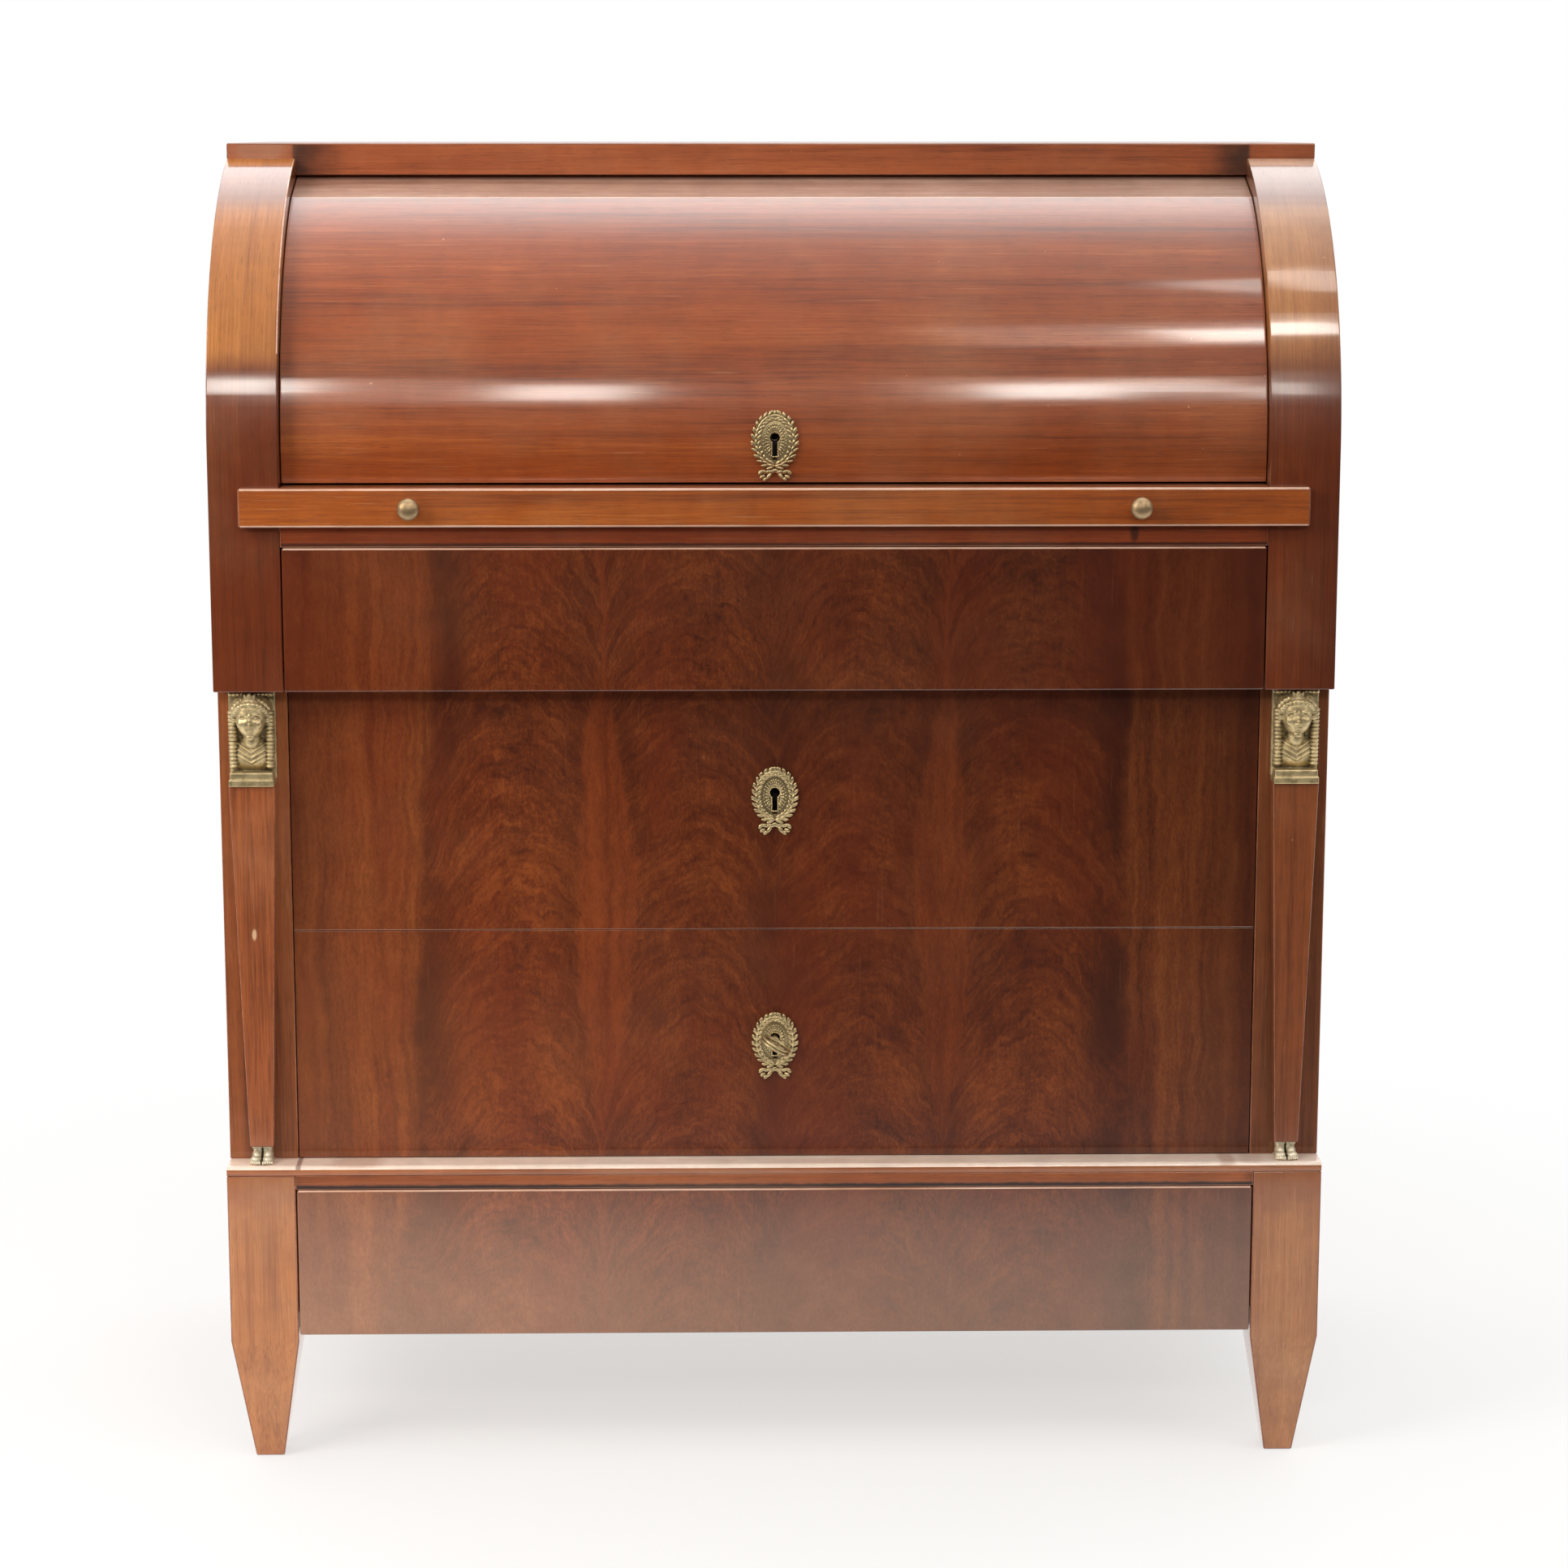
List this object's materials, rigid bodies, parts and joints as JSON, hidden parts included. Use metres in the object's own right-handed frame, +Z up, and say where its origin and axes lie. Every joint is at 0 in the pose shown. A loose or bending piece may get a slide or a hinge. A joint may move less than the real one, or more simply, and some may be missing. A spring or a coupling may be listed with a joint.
{
  "type": "cylinder desk",
  "caption": "Mahogany cylinder desk: a curved fall rolls up over a pull-out writing slide, above drawers between bronze-headed tapered pilasters, on a plinth with tapered legs.",
  "frame": {"origin": "on the floor, under the middle of the bounding box", "axes": "+Z up, front towards -Y, +X to the right seen from the front"},
  "size_m": [0.92, 0.49, 1.104],
  "materials": {
    "flame_mahogany": "polished flame veneer",
    "plain_mahogany": "polished veneer",
    "secondary_wood": "planed, unpolished",
    "gilt_bronze": "aged gilding",
    "iron": "worn iron",
    "leather": "worn leather"
  },
  "bodies": {
    "case": {"left_curved_post": "plain_mahogany", "right_curved_post": "plain_mahogany", "left_side_panel": "plain_mahogany", "right_side_panel": "plain_mahogany", "top_board": "plain_mahogany", "top_rail": "plain_mahogany", "slide_rail": "plain_mahogany", "left_lower_side": "plain_mahogany", "right_lower_side": "plain_mahogany", "left_stile": "plain_mahogany", "right_stile": "plain_mahogany", "plinth_board": "plain_mahogany", "plinth_front_rail": "plain_mahogany", "plinth_rails": "plain_mahogany", "left_front_leg": "plain_mahogany", "right_front_leg": "plain_mahogany", "back_legs": "plain_mahogany", "left_pilaster": "plain_mahogany", "right_pilaster": "plain_mahogany", "pigeonhole_nest": "plain_mahogany", "interior_floor": "plain_mahogany", "left_lining": "plain_mahogany", "right_lining": "plain_mahogany", "upper_back_panel": "secondary_wood", "lower_back_panel": "secondary_wood", "slide_runners": "secondary_wood", "soffit_board": "secondary_wood", "drawer_divider": "secondary_wood", "drawer_runners": "secondary_wood", "left_herm_head": "gilt_bronze", "right_herm_head": "gilt_bronze", "bronze_feet": "gilt_bronze", "fall_pivot_pins": "iron"},
    "fall": {"fall_shell": "plain_mahogany", "fall_arms": "secondary_wood", "fall_escutcheon": "gilt_bronze", "fall_lock": "iron"},
    "fall_bolt": {"fall_bolt": "iron"},
    "slide": {"slide_board": "plain_mahogany", "slide_front": "plain_mahogany", "slide_leather": "leather", "slide_knobs": "gilt_bronze"},
    "frieze_drawer": {"frieze_drawer_front": "flame_mahogany", "frieze_drawer_box": "secondary_wood"},
    "upper_drawer": {"upper_drawer_front": "flame_mahogany", "upper_drawer_box": "secondary_wood", "upper_escutcheon": "gilt_bronze", "upper_lock": "iron"},
    "upper_bolt": {"upper_bolt": "iron"},
    "lower_drawer": {"lower_drawer_front": "flame_mahogany", "lower_drawer_box": "secondary_wood", "lower_escutcheon": "gilt_bronze", "lower_lock": "iron"},
    "lower_bolt": {"lower_bolt": "iron"},
    "key": {"key": "iron"},
    "plinth_drawer": {"plinth_drawer_front": "flame_mahogany", "plinth_drawer_box": "secondary_wood"},
    "left_small_drawer": {"left_small_drawer": "plain_mahogany"},
    "right_small_drawer": {"right_small_drawer": "plain_mahogany"}
  },
  "joints": [
    {"name": "fall_roll", "type": "hinge", "parent": "case", "child": "fall", "pos_m": [0, 0.0314, 0.8565], "axis": [-1, 0, 0], "range_deg": [0, 60]},
    {"name": "fall_bolt_throw", "type": "slide", "parent": "fall", "child": "fall_bolt", "axis": [0, 0, -1], "range_m": [0, 0.006]},
    {"name": "slide_pull", "type": "slide", "parent": "case", "child": "slide", "axis": [0, -1, 0], "range_m": [0, 0.2]},
    {"name": "frieze_pull", "type": "slide", "parent": "case", "child": "frieze_drawer", "axis": [0, -1, 0], "range_m": [0, 0.24]},
    {"name": "upper_pull", "type": "slide", "parent": "case", "child": "upper_drawer", "axis": [0, -1, 0], "range_m": [0, 0.3]},
    {"name": "upper_bolt_throw", "type": "slide", "parent": "upper_drawer", "child": "upper_bolt", "axis": [0, 0, 1], "range_m": [0, 0.006]},
    {"name": "lower_pull", "type": "slide", "parent": "case", "child": "lower_drawer", "axis": [0, -1, 0], "range_m": [0, 0.3]},
    {"name": "key_turn", "type": "hinge", "parent": "lower_drawer", "child": "key", "pos_m": [0, -0.189, 0.36335], "axis": [0, 1, 0], "range_deg": [0, 150]},
    {"name": "lower_bolt_throw", "type": "slide", "parent": "lower_drawer", "child": "lower_bolt", "axis": [0, 0, 1], "range_m": [0, 0.006]},
    {"name": "plinth_pull", "type": "slide", "parent": "case", "child": "plinth_drawer", "axis": [0, -1, 0], "range_m": [0, 0.28]},
    {"name": "left_small_pull", "type": "slide", "parent": "case", "child": "left_small_drawer", "axis": [0, -1, 0], "range_m": [0, 0.11]},
    {"name": "right_small_pull", "type": "slide", "parent": "case", "child": "right_small_drawer", "axis": [0, -1, 0], "range_m": [0, 0.11]}
  ],
  "couplings": [
    {"joint": "key_turn", "follows": "lower_bolt_throw", "rad_per_m": 436.33}
  ]
}
